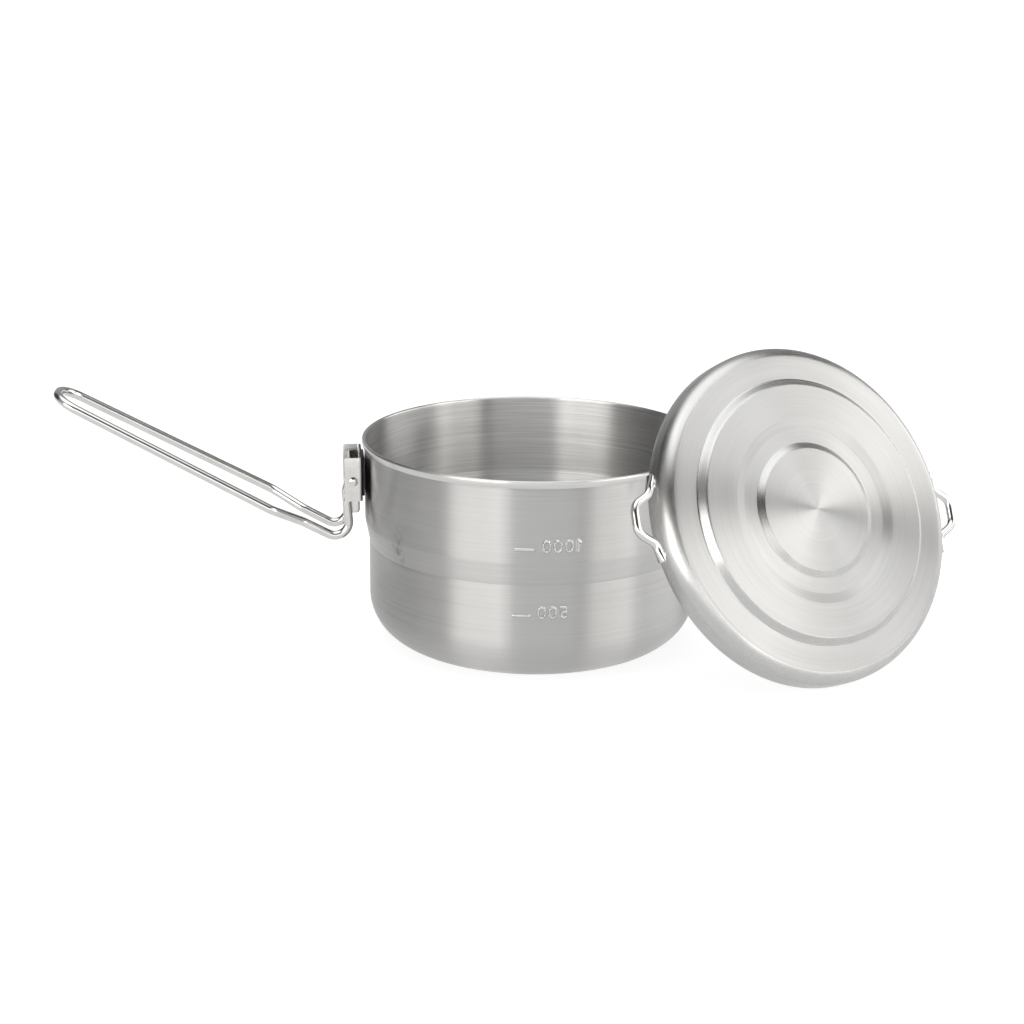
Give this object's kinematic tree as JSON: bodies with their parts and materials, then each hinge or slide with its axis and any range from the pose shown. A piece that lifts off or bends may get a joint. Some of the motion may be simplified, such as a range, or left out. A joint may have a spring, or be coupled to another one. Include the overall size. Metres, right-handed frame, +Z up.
{
  "type": "camping pot set",
  "caption": "Stainless steel camping pot with a fold-over wire handle and slide lock, and a stepped drop-in lid with wire ears leaning on its rim.",
  "frame": {"origin": "centre of the pot's flat bottom, on the surface that it stands on", "axes": "+Z up along the pot's axis, handle towards -X, lid towards +X and -Y"},
  "size_m": [0.3978, 0.1776, 0.1348],
  "materials": {
    "brushed_pot": "horizontally brushed stainless steel",
    "brushed_lid": "stainless steel brushed in circles",
    "pressed_bracket": "satin pressed stainless sheet",
    "polished_wire": "polished stainless wire"
  },
  "bodies": {
    "pot": {"pot_body": "brushed_pot", "handle_bracket": "pressed_bracket", "pivot_pin": "polished_wire"},
    "handle": {"handle_wire": "polished_wire"},
    "lock": {"lock_slide": "pressed_bracket"},
    "lid": {"lid_shell": "brushed_lid", "lid_ear_left": "polished_wire", "lid_ear_right": "polished_wire"}
  },
  "joints": [
    {"name": "handle_fold", "type": "hinge", "parent": "pot", "child": "handle", "pos_m": [-0.0808, 0, 0.0757], "axis": [0, 1, 0], "range_deg": [0, 151]},
    {"name": "lock_travel", "type": "slide", "parent": "pot", "child": "lock", "axis": [0, 0, 1], "range_m": [0, 0.006]},
    {"name": "lid_lift", "type": "slide", "parent": "pot", "child": "lid", "axis": [0, 0, 1], "range_m": [0, 0.15]}
  ]
}
